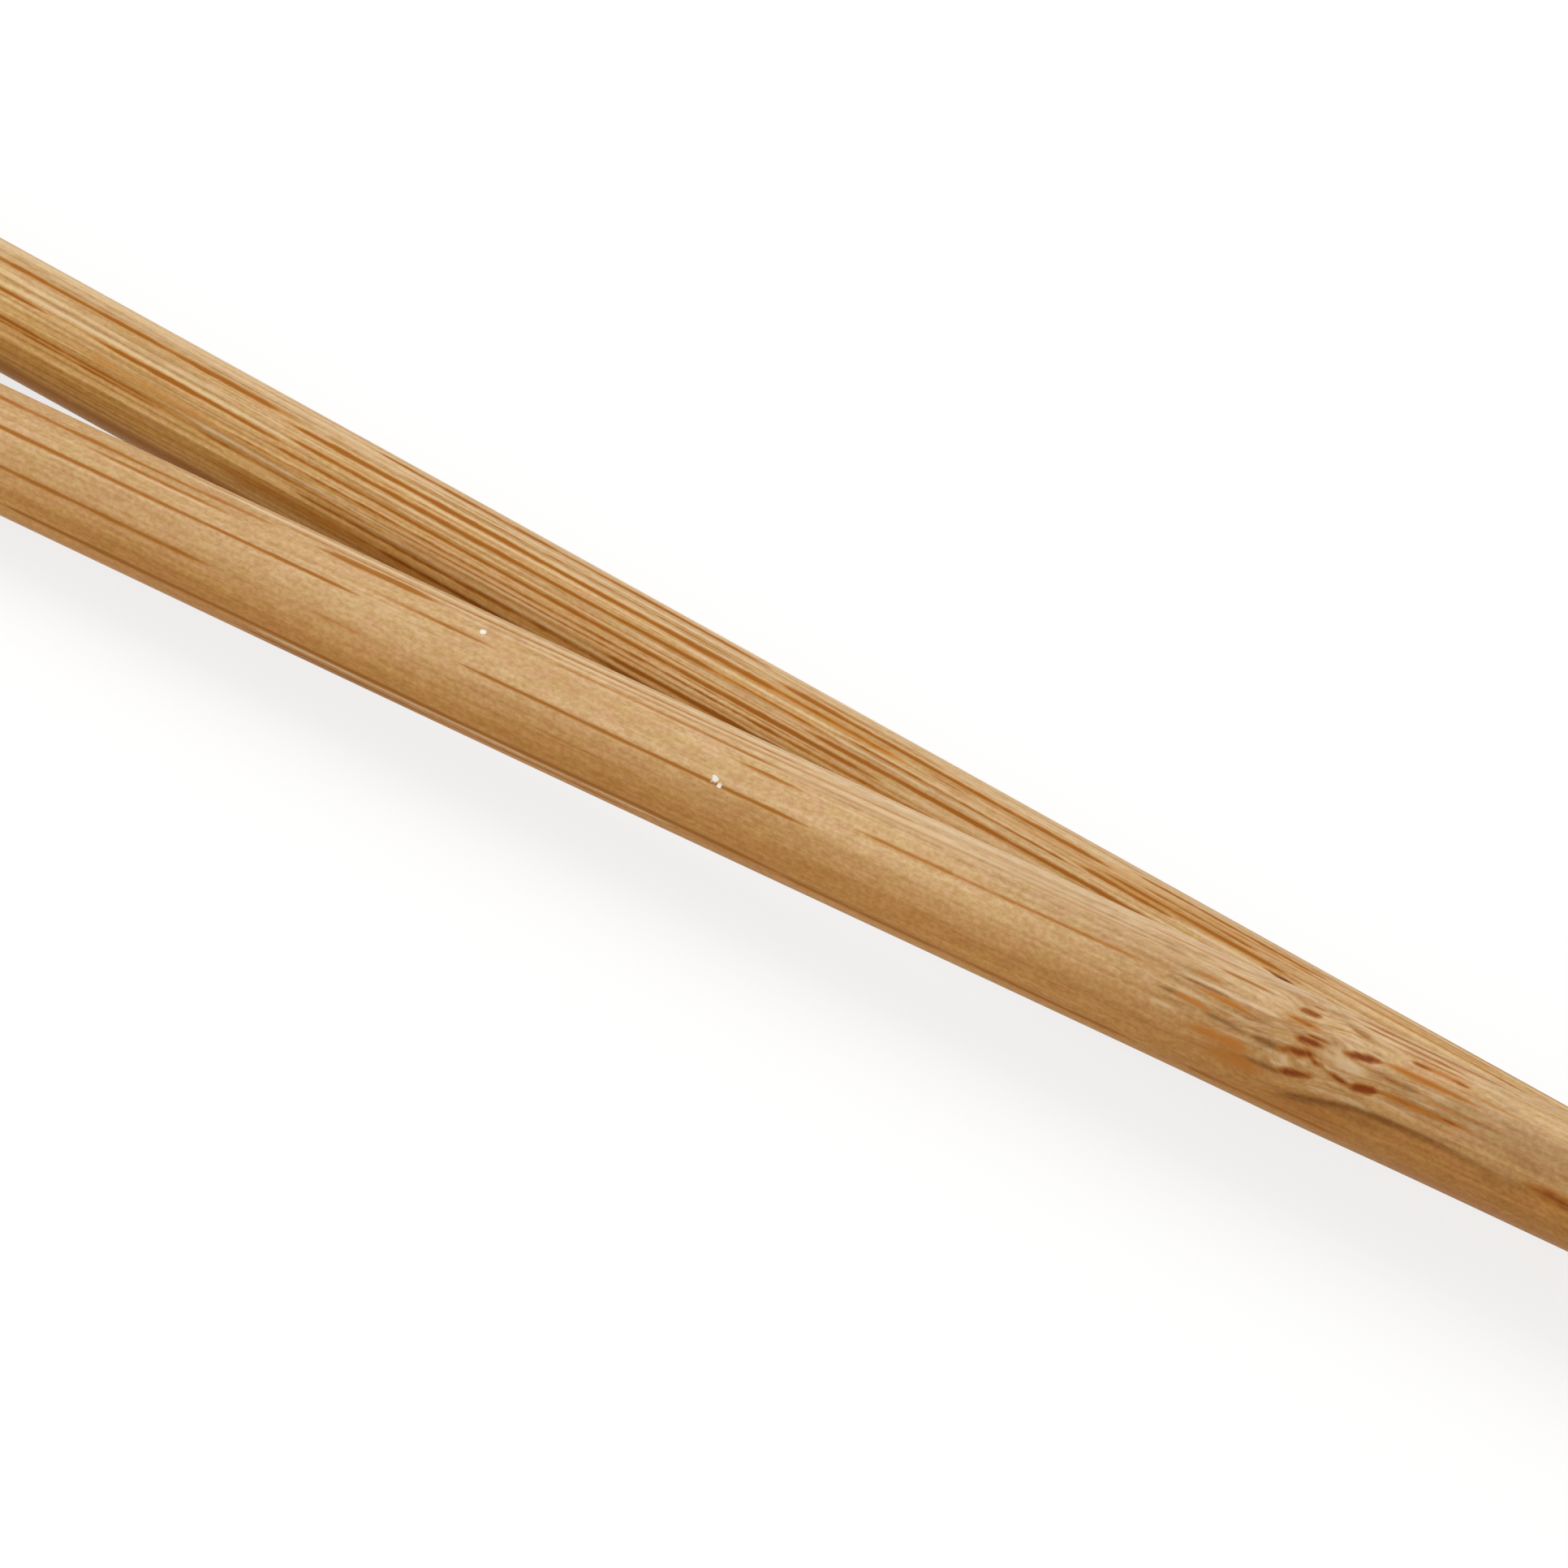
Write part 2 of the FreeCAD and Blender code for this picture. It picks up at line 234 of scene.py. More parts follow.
LOWER_PALE = [
    (34.0, 52.0, -1.48, -1.44, 0.09, 0.72), (34.0, 56.0, -1.12, -1.06, 0.08, 0.72),
    (46.0, 60.0, -1.56, -1.52, 0.08, 0.6), (48.0, 61.0, 0.42, 0.42, 0.11, 0.7),
    (49.5, 57.5, 0.94, 0.92, 0.06, 0.55), (46.0, 49.5, 1.65, 1.66, 0.07, 0.55),
    (57.0, 86.0, -2.5, -2.52, 0.08, 0.7), (57.0, 86.0, -2.12, -2.14, 0.07, 0.65),
    (58.0, 84.0, -1.64, -1.68, 0.07, 0.65), (60.0, 84.0, -1.4, -1.44, 0.045, 0.5),
    (58.0, 88.0, -0.98, -1.02, 0.08, 0.7), (60.0, 90.0, -0.7, -0.68, 0.06, 0.6),
    (56.0, 92.0, -0.26, -0.34, 0.065, 0.7), (60.0, 82.0, 0.22, 0.16, 0.07, 0.7),
    (58.0, 74.0, 0.44, 0.42, 0.08, 0.75), (58.0, 78.0, 0.82, 0.8, 0.07, 0.65),
    (84.0, 92.0, -1.02, -1.08, 0.1, 0.6), (86.0, 104.0, -1.32, -1.28, 0.1, 0.6),
    (88.0, 103.0, -1.72, -1.72, 0.07, 0.6), (84.0, 96.0, -2.48, -2.48, 0.06, 0.5),
    (94.0, 104.0, -2.66, -2.62, 0.13, 0.45), (90.0, 108.0, -0.66, -0.66, 0.11, 0.55),
    (108.0, 114.0, -1.64, -1.6, 0.14, 0.6),
]

# Light specks on the upper stick: along, across and radius, in mm.
UPPER_SPECKS = [
    (86.05, -0.28, 0.21),
    (86.40, -0.10, 0.15),
    (71.55, -2.02, 0.19),
]

# The smooth browner flank beyond the node starts at this line: along and across, in mm.
FLANK_EDGE = [
    (118.8, 2.05), (120.0, 1.80), (121.0, 1.58), (122.0, 1.36), (122.7, 1.15), (123.5, 1.06),
    (125.0, 0.98), (126.5, 0.93), (128.0, 0.93), (129.5, 1.02), (131.0, 1.16), (133.0, 1.10),
    (140.0, 1.90), (152.0, 2.70),
]
FLANK_FROM = (118.5, 123.0)  # it eases in
FLANK_TO = (140.0, 156.0)  # and out

# The dark crease along that line: where it eases in and out, its half widths above and below the
# line, all in mm, and its strength.
CREASE_FROM = (118.6, 120.2)
CREASE_TO = (126.0, 134.0)
CREASE_WIDTHS = (0.13, 0.30)
CREASE_SHADE = 0.9

# Shade over the whole stick at the node: where it eases in and out, in mm, and its strength.
DARKER_FROM = (97.0, 122.0)
DARKER_TO = (140.0, 158.0)
NODE_SHADE = 0.24

SWIRL_EDGE = (0.9, 1.5)  # mm across the face, where the node's swirls run out

# Marks scattered round the node: their kind, strength and number, how far from the node their
# middles lie, and the ranges of their places across, lengths and half widths, all in mm.
HIDDEN_MARKS = [
    ("fleck", 1.0, 46, 5.0, (-9.4, 9.4), (1.6, 5.0), (0.07, 0.13)),
    ("pale", 0.6, 40, 4.0, (-9.4, 9.4), (2.0, 5.0), (0.12, 0.35)),
]
FACE_MARKS = [
    ("shade", 0.5, 46, 9.5, (-2.9, 0.7), (1.2, 3.6), (0.05, 0.10)),
    ("pale", 0.6, 40, 9.5, (-2.9, 0.7), (1.2, 4.0), (0.06, 0.14)),
    ("amber", 0.5, 26, 9.5, (-2.9, 0.7), (1.4, 4.0), (0.08, 0.18)),
]

# A mark starts and ends over this share of its length, but over no more than this, in mm.
MARK_EASE_SHARE = 0.36
MARK_EASE = 2.5
# How far a mark's place wavers, and how soon its place, width and strength change, in mm.
MARK_WAVER = 0.05
WAVER_STEP = 6.0
WIDTH_STEP = 2.2
STRENGTH_STEP = 1.6

# Strands through the stick, in mm: where their rows start on the culm's outer side, how far in and
# across they go, the depth of all rows, the gap in the first row, and what it grows by.
STRANDS_TOP = 3.3
STRANDS_EDGE = 3.4
STRANDS_SPAN = 6.7
STRAND_GAP = 0.40
STRAND_GAP_GROWTH = 0.62
# How deep a strand shows, and its half width, which grows with the gap round it.
STRAND_DEPTH = 0.17
STRAND_WIDTH = 0.035
STRAND_WIDTH_PER_GAP = 0.05
# Its slow drift, the shortest length of that wave and what chance adds, and a faster waver with its
# pace upwards and sideways, in radians per mm.
DRIFT = 0.14
DRIFT_LENGTH = 110.0
DRIFT_LENGTH_SPREAD = 160.0
WAVER = 0.03
WAVER_UP = 0.21
WAVER_ASIDE = 0.23

# The photographed part of a stick, where its drawn marks take the strands' place: where it eases
# in and out, in mm, and by how squarely a point faces the photograph, 1 mid-face and 0 at its rims.
WINDOW_FROM = (24.0, 40.0)
WINDOW_TO = (131.0, 146.0)
WINDOW_FACING = (0.02, 0.22)
FACE_FACING = (0.0, 0.25)  # where the drawn marks themselves ease in
HIDDEN_FACING = (-0.1, 0.15)  # where the marks behind ease out
OFF_FACE = 99.0  # mm, the place across the face of a point that isn't on it

# The painted highlight along each stick's upper rim, and its painted side shading, a warmer colour
# towards its lower side: their middle, round from the middle of the face, and how far either side
# of that each is full and is gone, in radians.
RIM_TURNS = (-1.15, 0.25, 0.9)
PAINTED_SIDE_TURNS = (1.7, 0.8, 2.1)
RIM_FADE = (117.0, 124.0)  # mm along the stick, where the painted rim highlight drops to half
PAINTED_SIDE_RADII = (0.0, 1.6)  # mm, the painted side shading fades out towards the middle of an end

# Where the sawn ends' colour eases in, in mm along the stick, the first one counted backwards.
BUTT_END_GRAIN = (-0.30, -0.02)
TIP_END_GRAIN = (STICK_LENGTH - 0.5, STICK_LENGTH)

# The bake map, in mm: a square with the stick in strips of one length each, side by side, and the
# flats of the butt and the tip as discs beyond the strips.
BAKE_SIZE = 80.0
BAKE_STRIPS = 4
BAKE_LENGTH = 60.0
BAKE_STRIP_WIDTH = 2.0 * math.pi * HANDLE_RADIUS
BAKE_GAP = 0.8
BAKE_MARGIN = 1.0
DISCS_U = 70.0
BUTT_DISC_V = 10.0
TIP_DISC_V = 30.0


def srgb(red, green, blue):
    """Linear colour from 0-255 screen values."""
    def linear(value):
        value /= 255.0
        return value / 12.92 if value <= 0.04045 else ((value + 0.055) / 1.055) ** 2.4
    return (linear(red), linear(green), linear(blue), 1.0)


# Colours of each stick: its wood, the warmer colour of its painted side shading, and what else its
# surface shows.
UPPER_COLOURS = {
    "wood": srgb(207, 168, 118),
    "painted_side_shading": srgb(202, 145, 77),
    "fibre": srgb(163, 103, 36),
    "fleck": srgb(121, 53, 4),
    "amber": srgb(178, 110, 40),
    # pale: pale streaks and the painted highlight along the upper rim
    "pale": srgb(224, 194, 154),
    "flank": srgb(199, 141, 74),
    "end": srgb(176, 130, 78),
}
LOWER_COLOURS = {
    "wood": srgb(212, 173, 118),
    "painted_side_shading": srgb(232, 180, 102),
    "fibre": srgb(156, 93, 22),
    "fleck": srgb(100, 44, 12),
    "amber": srgb(192, 126, 44),
    # pale: pale streaks and the painted highlight along the upper rim
    "pale": srgb(222, 193, 154),
    "flank": srgb(176, 122, 64),
    "end": srgb(170, 122, 70),
}
SPECK_COLOUR = srgb(238, 232, 222)
WHITE = (1.0, 1.0, 1.0, 1.0)
SHADE = (0.36, 0.25, 0.12, 1.0)  # what the olive shade multiplies by
OLIVE = (0.985, 1.02, 0.94, 1.0)  # the two tints that the grain wavers between
ROSY = (1.015, 0.985, 1.05, 1.0)

# What the wood's colour is multiplied by where its grain is darkest and palest.
DARKER = (0.78, 0.68, 0.52, 1.0)
PALER = (1.13, 1.21, 1.36, 1.0)

# Noises that the wood is drawn with: how fast each changes lengthwise and across, per mm, and its
# detail, roughness and distortion.
GRAIN_NOISES = {
    "broad": (0.05, 0.45, 3.0, 0.55, 0.0),
    "bands": (0.022, 1.7, 3.0, 0.6, 0.0),
    "hairs": (0.05, 6.0, 2.0, 0.6, 0.0),
    "flame": (0.9, 2.6, 3.0, 0.6, 0.0),
    "grit": (3.0, 5.0, 2.0, 0.6, 0.0),
    "swirls": (0.28, 2.3, 2.0, 0.5, 0.4),
    "tint": (0.8, 1.9, 3.0, 0.65, 0.0),
}
GRAIN_SPAN = (0.30, 0.70)  # levels of a noise that count as darkest and palest
TINT_SPAN = (0.32, 0.68)
RAGGED_SPAN = (0.7, 1.3, -0.14, 0.14)  # how far hairs and flame together move a mark's edge
PALE_SWIRL = (0.48, 0.38, 0.0, 0.5)
DARK_SWIRL = (0.54, 0.66, 0.0, 0.5)

# From what strength to what a mark covers the wood, and from how far to how far where it isn't
# from 0 to 1. A seam is the softer edge round a fibre or fleck.
PALE_EDGE = (0.15, 0.85)
AMBER_EDGE = (0.10, 0.80, 0.0, 0.9)
FIBRE_SEAM = (0.04, 0.45, 0.0, 0.45)
FIBRE_EDGE = (0.26, 0.70)
FLECK_SEAM = (0.18, 0.50, 0.0, 0.85)
FLECK_EDGE = (0.38, 0.80)
SPECK_EDGE = 0.3  # of its radius, how uneven a speck's edge is

GRAIN_SWIRL = 0.34  # mm, how far the grain parts at a node
GRAIN_ASIDE = 0.31  # how much of the grain's offset is sideways

# The wood's surface.
ROUGHNESS = (0.46, 0.58)
FIBRE_ROUGHNESS = 0.12  # added on the fibres
END_ROUGHNESS = 0.25  # added on the ends
WOOD_IOR = 1.48
WOOD_GLOSS = 0.14
BUMP_STRENGTH = 0.8
BUMP_HEIGHT = 0.00004  # m

# What sets each stick apart, such as which way round the culm's skin was, where the grain is drawn,
# how far the drawn marks take the strands' place, and how strongly each noise shows. The marks are
# in the order of their random draws.
UPPER_LOOK = {
    "seed": 11, "node": True, "face": UPPER_FACE, "bow": UPPER_BOW,
    "skin_angle": UPPER_FACE + math.pi, "grain_offset": 0.0,
    "marks": {"fibre": UPPER_FIBRES, "fleck": UPPER_FLECKS, "pale": UPPER_PALE_AND_HIGHLIGHTS,
              "amber": UPPER_AMBER, "shade": UPPER_SHADE},
    "specks": UPPER_SPECKS, "drawn": 1.0, "rim_light": 0.5, "rim_start": (50.0, 100.0),
    "colours": UPPER_COLOURS,
    "grain": {"broad": 0.30, "bands": 0.35, "hairs": 0.35, "flame": 0.30, "grit": 0.50},
}
LOWER_LOOK = {
    "seed": 23, "node": False, "face": LOWER_FACE, "bow": LOWER_BOW,
    "skin_angle": LOWER_FACE - 0.5 * math.pi, "grain_offset": 371.0,
    "marks": {"fibre": LOWER_FIBRES, "fleck": LOWER_FLECKS, "pale": LOWER_PALE,
              "amber": LOWER_AMBER_AND_GROOVE_SHADE, "shade": LOWER_SHADE},
    "specks": [], "drawn": 0.78, "rim_light": 0.4, "rim_start": (0.0, 5.0),
    "colours": LOWER_COLOURS,
    "grain": {"broad": 0.30, "bands": 1.0, "hairs": 1.0, "flame": 0.20, "grit": 0.42},
}

# Sockets of a colour mix node, whose names repeat for each type of data.
MIX_FACTOR = 0
MIX_FIRST = 6
MIX_SECOND = 7
MIX_RESULT = 2

FLOOR_COLOUR = srgb(212, 210, 206)
FLOOR_SIZE = 6.0  # m
FLOOR_WHITENING = 0.78  # share of plain white that the camera sees in the floor
SKY_LEVEL = 0.56  # of the sky's light on things, while the camera sees plain white

# Square lamps: name, azimuth and elevation in degrees, and power in W.
LAMPS = [
    ("key", 195.0, 72.0, 13.4),
    ("fill", 5.0, 38.0, 3.6),
]
LAMP_DISTANCE = 1.6  # m
LAMP_SIZE = 1.2  # m


def smooth_step(value, low, high):
    """0 below low, 1 above high, and an easy curve between."""
    share = np.clip((value - low) / (high - low), 0.0, 1.0)
    return share * share * (3.0 - 2.0 * share)


# ---- shape of a stick

def handle_rows(has_node):
    """Places along the stick, in mm, between its two roundings. One lies on each bake seam."""
    start, end = BUTT_ROUNDING, STICK_LENGTH - TIP_ROUNDING
    rows, place = [], start
    while place < end - LAST_ROW_GAP:
        rows.append(place)
        near = has_node and abs(place - NODE) < FINE_ROWS_REACH
        place += NODE_ROW_STEP if near else ROW_STEP
    rows = np.array(rows)
    for seam in np.arange(1, BAKE_STRIPS) * BAKE_LENGTH:
        rows[np.argmin(abs(rows - seam))] = seam
    return rows


def handle_radius(along):
    """Radius of the plain stick, in mm, before its ends are rounded."""
    taper = np.clip((along - HANDLE_LENGTH) / (STICK_LENGTH - HANDLE_LENGTH), 0.0, 1.0)
    return HANDLE_RADIUS + (TIP_RADIUS - HANDLE_RADIUS) * taper


def end_rings(flat_radius):
    """Radii of the rings on the flat of an end, from its middle outwards."""
    count = max(2, round(flat_radius / END_RING_STEP))
    return [flat_radius * (ring + 1) / count for ring in range(count)]


def profile(has_node):
    """Along and radius, in mm, of every ring of the stick, from the butt's middle to the tip's."""
    butt_flat = HANDLE_RADIUS - BUTT_ROUNDING
    tip_flat = float(handle_radius(STICK_LENGTH - TIP_ROUNDING)) - TIP_ROUNDING
    rings = [(0.0, radius) for radius in end_rings(butt_flat)]
    for step in range(1, BUTT_ROUNDING_STEPS):
        turn = 0.5 * math.pi * step / BUTT_ROUNDING_STEPS
        along = BUTT_ROUNDING * (1.0 - math.cos(turn))
        rings.append((along, butt_flat + BUTT_ROUNDING * math.sin(turn)))
    rings += [(along, float(handle_radius(along))) for along in handle_rows(has_node)]
    for step in range(TIP_ROUNDING_STEPS + 1):
        turn = 0.5 * math.pi * step / TIP_ROUNDING_STEPS
        along = STICK_LENGTH - TIP_ROUNDING * (1.0 - math.sin(turn))
        rings.append((along, tip_flat + TIP_ROUNDING * math.cos(turn)))
    rings += [(STICK_LENGTH, radius) for radius in reversed(end_rings(tip_flat)[:-1])]
    return np.array(rings)


# ---- what the surface shows

def knots(rng, place, step):
    """Soft random values from 0 to 1 along a line, changing every step."""
    count = int(np.max(place) / step) + 3
    return np.interp(place, np.arange(count) * step, rng.random(count))


def marks(rng, along, across, rows):
    """How strongly a list of lengthwise marks shows at each point of a face. Each mark thins and
    fades at its ends, and its place, width and strength waver along it."""
    field = np.zeros_like(along)
    for start, end, across_start, across_end, half_width, strength in rows:
        share = np.clip((along - start) / (end - start), 0.0, 1.0)
        ease = min(MARK_EASE_SHARE * (end - start), MARK_EASE)
        inside = smooth_step(along, start, start + ease) * smooth_step(-along, -end, -end + ease)
        middle = across_start + (across_end - across_start) * share
        middle = middle + MARK_WAVER * (knots(rng, along, WAVER_STEP) - 0.5)
        width = half_width * (0.45 + 0.55 * inside) * (0.8 + 0.4 * knots(rng, along, WIDTH_STEP))
        shape = np.exp(-(((across - middle) / width) ** 2))
        level = strength * np.sqrt(inside) * (0.72 + 0.28 * knots(rng, along, STRENGTH_STEP))
        field = np.maximum(field, level * shape)
    return field


def strand_places(rng, skin_angle):
    """Strands of fibre in the stick's cross-section, crowded towards the culm's skin and sparse
    inside: how far up and sideways each lies, and the gap round it, in mm."""
    places, depth = [], STRANDS_TOP
    while depth > -STRANDS_EDGE:
        gap = STRAND_GAP + STRAND_GAP_GROWTH * (STRANDS_TOP - depth) / STRANDS_SPAN
        side = -STRANDS_EDGE + gap * rng.random()
        while side < STRANDS_EDGE:
            offset = (rng.random(2) - 0.5) * gap * 0.5
            places.append((side + offset[0], depth + offset[1], gap))
            side += gap * (1.0 + 0.7 * rng.random())
        depth -= gap
    side, depth, gap = np.array(places).T
    upward = depth * math.cos(skin_angle) - side * math.sin(skin_angle)
    sideways = depth * math.sin(skin_angle) + side * math.cos(skin_angle)
    return upward, sideways, gap


def strand_drift(rng, along):
    """How far a strand has drifted up and sideways at each point, in mm."""
    phase = rng.random(4) * 2.0 * math.pi
    wave = 2.0 * math.pi / (DRIFT_LENGTH + DRIFT_LENGTH_SPREAD * rng.random(2))
    upward = DRIFT * np.sin(along * wave[0] + phase[0])
    upward = upward + WAVER * np.sin(along * WAVER_UP + phase[1])
    sideways = DRIFT * np.sin(along * wave[1] + phase[2])
    sideways = sideways + WAVER * np.sin(along * WAVER_ASIDE + phase[3])
    return upward, sideways


def strands(rng, along, angle, radius, skin_angle):
    """How strongly the strands show at each point, 0 to 1. Every strand drifts slowly sideways, so
    it comes out at the surface and sinks again, and the taper cuts through one after another."""
    field = np.zeros_like(along)
    ups, sides, gaps = strand_places(rng, skin_angle)
    out_up, out_side = np.cos(angle), np.sin(angle)
    point_up, point_side = radius * out_up, radius * out_side
    for up, side, gap in zip(ups, sides, gaps):
        drift_up, drift_side = strand_drift(rng, along)
        off_up, off_side = point_up - up - drift_up, point_side - side - drift_side
        deep = off_up * out_up + off_side * out_side
        round_about = off_up * out_side - off_side * out_up
        seen = np.exp(-((deep / STRAND_DEPTH) ** 2))
        width = (STRAND_WIDTH + STRAND_WIDTH_PER_GAP * gap) * (0.5 + 0.5 * seen)
        strength = 0.45 + 0.5 * rng.random()
        field = np.maximum(field, strength * seen * np.exp(-((round_about / width) ** 2)))
    return field


def turn_within(turn):
    """An angle brought into the half turn either side of 0."""
    return (turn + math.pi) % (2.0 * math.pi) - math.pi


def beside_turn(turn, middle, full, none):
    """1 as far as one angle either side of a middle, and 0 from a wider one on."""
    return smooth_step(-abs(turn_within(turn - middle)), -none, -full)


def near_node(along, reach=NODE_REACH):
    """1 at the node, falling off either side of it."""
    return np.exp(-(((along - NODE) / reach) ** 2))


def random_marks(rng, count, spread, places, lengths, widths):
    """Short marks scattered round the node."""
    rows = []
    for _ in range(count):
        middle = NODE + spread * (rng.random() - 0.5) * 2.0
        length = lengths[0] + (lengths[1] - lengths[0]) * rng.random()
        place = places[0] + (places[1] - places[0]) * rng.random()
        lean = 0.5 * (rng.random() - 0.5)
        width = widths[0] + (widths[1] - widths[0]) * rng.random()
        start, end = middle - 0.5 * length, middle + 0.5 * length
        rows.append((start, end, place, place + lean, width, 0.5 + 0.5 * rng.random()))
    return rows


def scatter(rng, along, across, kinds, share, fields):
    """Adds scattered marks of some kinds to the fields, where share lets them show."""
    scattered = [(kind, level, random_marks(rng, *spans)) for kind, level, *spans in kinds]
    for kind, level, rows in scattered:
        shown = level * marks(rng, along, across, rows) * share
        fields[kind] = np.maximum(fields[kind], shown)


def add_flank(along, shown, rim, fields):
    """The smooth browner flank beyond the node, the dark crease along its edge, the shade over this
    part of the stick, and where the grain swirls."""
    line = np.array(FLANK_EDGE)
    edge = np.interp(along, line[:, 0], line[:, 1])
    begins = smooth_step(along, *FLANK_FROM) * (1.0 - smooth_step(along, *FLANK_TO))
    flank = smooth_step(shown, edge - 0.02, edge + 0.16) * begins * (shown < OFF_FACE)
    beside = shown - edge
    crease = np.exp(-((beside / np.where(beside < 0.0, *CREASE_WIDTHS)) ** 2))
    crease *= smooth_step(along, *CREASE_FROM) * (1.0 - smooth_step(along, *CREASE_TO))
    shade = np.maximum(fields["shade"], CREASE_SHADE * crease)
    darkening = smooth_step(along, *DARKER_FROM) * (1.0 - smooth_step(along, *DARKER_TO))
    fields["shade"] = shade + (1.0 - shade) * NODE_SHADE * darkening * (1.0 - 0.8 * rim)
    fields["flank"] = flank
    swirl = near_node(along, SWIRL_REACH) * (1.0 - flank)
    swirl *= 1.0 - 0.8 * smooth_step(np.where(shown < OFF_FACE, shown, 0.0), *SWIRL_EDGE)
    fields["swirl"] = swirl


def surface_fields(along, angle, radius, flat_end, look):
    """What each point of a stick shows, by name, as numbers that mostly lie from 0 to 1."""
    rng = np.random.default_rng(look["seed"])
    turn = angle - look["face"]
    facing = np.cos(turn)
    shown = np.where(facing > 0.0, radius * np.sin(turn), OFF_FACE)
    along = along - SLANT * radius * facing
    window = smooth_step(facing, *WINDOW_FACING) * smooth_step(along, *WINDOW_FROM)
    window *= 1.0 - smooth_step(along, *WINDOW_TO)
    window = np.where(flat_end, 0.0, window)

    strand = strands(rng, along, angle, radius, look["skin_angle"])
    strand = strand * (1.0 - look["drawn"] * window)
    on_face = smooth_step(facing, *FACE_FACING)
    fields = {}
    for kind, rows in look["marks"].items():
        fields[kind] = marks(rng, along, shown, rows) * on_face
    fields["fibre"] = np.maximum(strand, fields["fibre"])
    fields["flank"], fields["swirl"] = np.zeros_like(along), np.zeros_like(along)

    rim = beside_turn(turn, *RIM_TURNS)
    if look["node"]:
        hidden = 1.0 - smooth_step(facing, *HIDDEN_FACING)
        scatter(rng, along, HANDLE_RADIUS * turn_within(turn), HIDDEN_MARKS, hidden, fields)
        scatter(rng, along, shown, FACE_MARKS, 1.0, fields)
        add_flank(along, shown, rim, fields)
    # Painted highlight: a pale band along each stick's upper rim, added to the pale streaks.
    lit = smooth_step(along, *look["rim_start"]) * (1.0 - 0.5 * smooth_step(along, *RIM_FADE))
    fields["pale"] = np.maximum(fields["pale"], look["rim_light"] * rim * lit)
    # Painted shading: each stick turns a warmer colour towards its lower side, darker on the upper
    # stick and lighter in the lower stick's shaded groove.
    painted_side_shading = beside_turn(turn, *PAINTED_SIDE_TURNS)
    fields["painted_side_shading"] = 0.5 + (painted_side_shading - 0.5) * smooth_step(radius, *PAINTED_SIDE_RADII)
    return fields


def relief(along, angle, fields, look):
    """How far each point stands off the plain round, in mm."""
    rng = np.random.default_rng(look["seed"] + 1)
    height = -FIBRE_DEPTH * fields["fibre"] - FLECK_DEPTH * fields["fleck"]
    height = height + PALE_HEIGHT * fields["pale"]
    for order in (2, 3, 5):
        phase = rng.random(2) * 2.0 * math.pi
        wave = 2.0 * math.pi / (60.0 + 70.0 * rng.random())
        wobble = np.sin(order * angle + phase[0]) * np.sin(along * wave + phase[1])
        height = height + UNEVENNESS / order * wobble
    if look["node"]:
        height = height + NODE_SWELL * near_node(along) * (0.7 + 0.3 * np.sin(3.0 * angle + 1.0))
    return height


def grain_points(along, angle, radius, look):
    """Coordinates in mm that the grain is drawn in: along the fibres, sideways and up. Round a node
    the fibres part and close again."""
    sideways, upward = radius * np.sin(angle), radius * np.cos(angle)
    if look["node"]:
        swirl = GRAIN_SWIRL * near_node(along) * np.sin(5.0 * angle + 0.9 * (along - NODE))
        sideways = sideways + swirl * np.cos(angle)
        upward = upward - swirl * np.sin(angle)
    offset = look["grain_offset"]
    return np.stack([along + offset, sideways + GRAIN_ASIDE * offset, upward], axis=-1)


# ---- the mesh

def stick_frame(mount):
    """Butt centre, direction, side and up of a stick, from the mount on its butt face."""
    direction = -Vector(mount["axis"]).normalized()
    side = direction.cross(UP).normalized()
    return Vector(mount["pos_m"]), direction, side, side.cross(direction).normalized()


def ring_faces(ring_count):
    """Faces of the rings and of the two end fans, by vertex number."""
    around = np.arange(AROUND)
    following = (around + 1) % AROUND
    starts = np.arange(ring_count - 1)[:, None] * AROUND
    quads = np.stack([starts + around, starts + following,
                      starts + AROUND + following, starts + AROUND + around], axis=-1)
    butt, tip = ring_count * AROUND, ring_count * AROUND + 1
    last = (ring_count - 1) * AROUND
    fans = [(butt, int(after), int(first)) for first, after in zip(around, following)]
    fans += [(tip, int(last + first), int(last + after)) for first, after in zip(around, following)]
    return quads.reshape(-1, 4).tolist() + fans


def ring_angles(face):
    """The angles of a ring's points, closest together on the photographed face."""
    turn = np.linspace(0.0, 2.0 * math.pi, TURN_SAMPLES)
    share = (turn + FACE_CROWDING * np.sin(turn)) / (2.0 * math.pi)
    return face + np.interp(np.arange(AROUND) / AROUND, share, turn)


